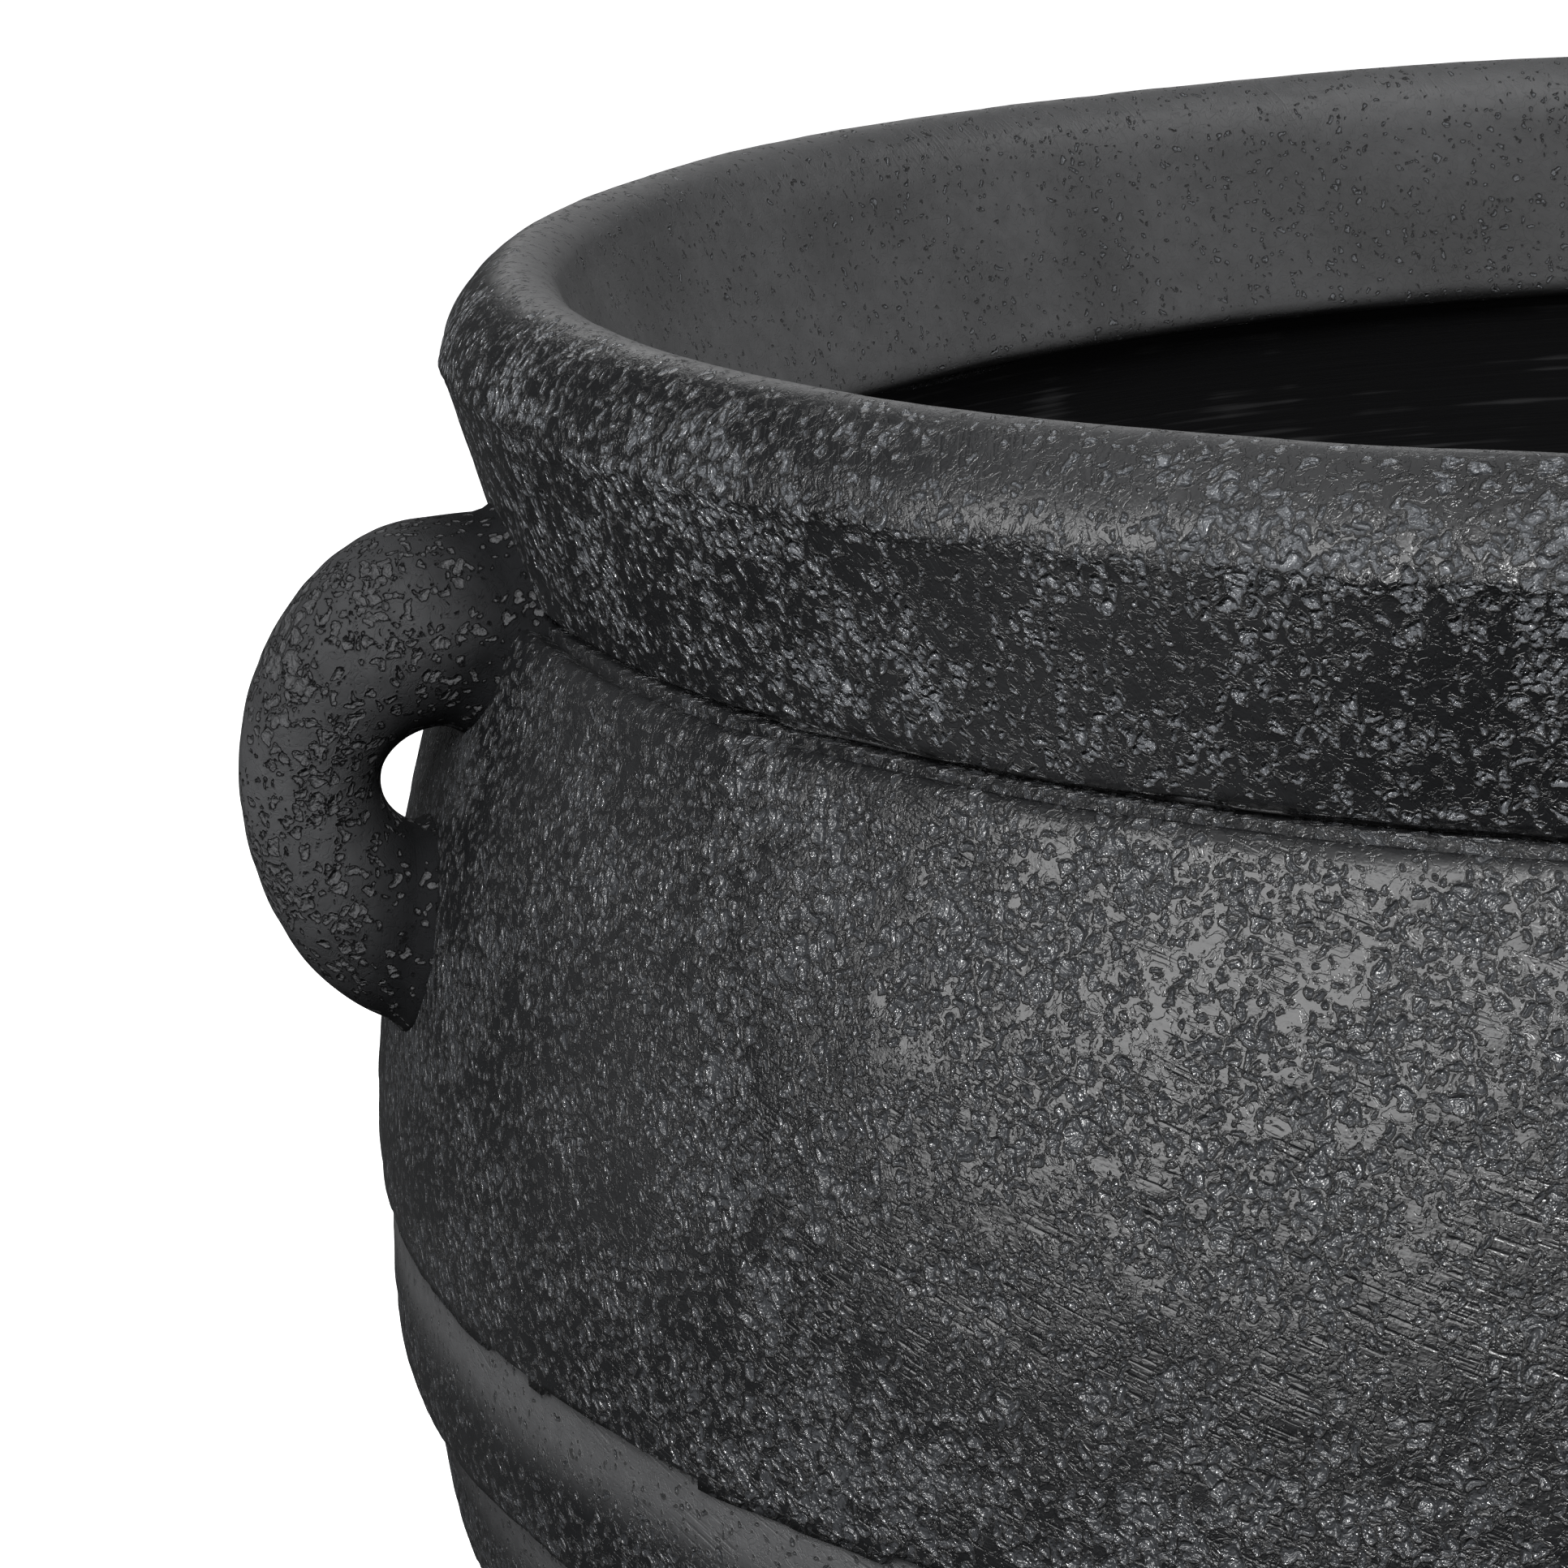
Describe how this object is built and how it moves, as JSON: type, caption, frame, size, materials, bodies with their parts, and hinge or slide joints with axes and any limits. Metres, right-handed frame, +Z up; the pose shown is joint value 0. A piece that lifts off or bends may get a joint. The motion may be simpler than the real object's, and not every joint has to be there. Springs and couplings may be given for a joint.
{
  "type": "cauldron planter",
  "caption": "Round-bellied cauldron planter in charcoal clay with a flared neck collar, turned rings, ear handles and a lift-out drain plug.",
  "frame": {"origin": "on the ground under the middle of the pot, at the underside of the rubber pads", "axes": "+Z up along the turning axis, +X from the left handle to the right handle, -Y the front"},
  "size_m": [0.556, 0.516, 0.352],
  "materials": {
    "charcoal_clay": "satin charcoal clay, densely pitted, with turning and trowel marks",
    "sealing_coat": "brushed black waterproof coat",
    "black_rubber": "moulded matt black rubber"
  },
  "bodies": {
    "pot": {"belly_bowl": "charcoal_clay", "neck_collar": "charcoal_clay", "left_handle": "charcoal_clay", "right_handle": "charcoal_clay", "inner_coat": "sealing_coat", "foot_pad_1": "black_rubber", "foot_pad_2": "black_rubber", "foot_pad_3": "black_rubber", "foot_pad_4": "black_rubber"},
    "plug": {"drain_plug": "black_rubber"}
  },
  "joints": [
    {"name": "plug_lift", "type": "slide", "parent": "pot", "child": "plug", "axis": [0, 0, 1], "range_m": [0, 0.36]}
  ]
}
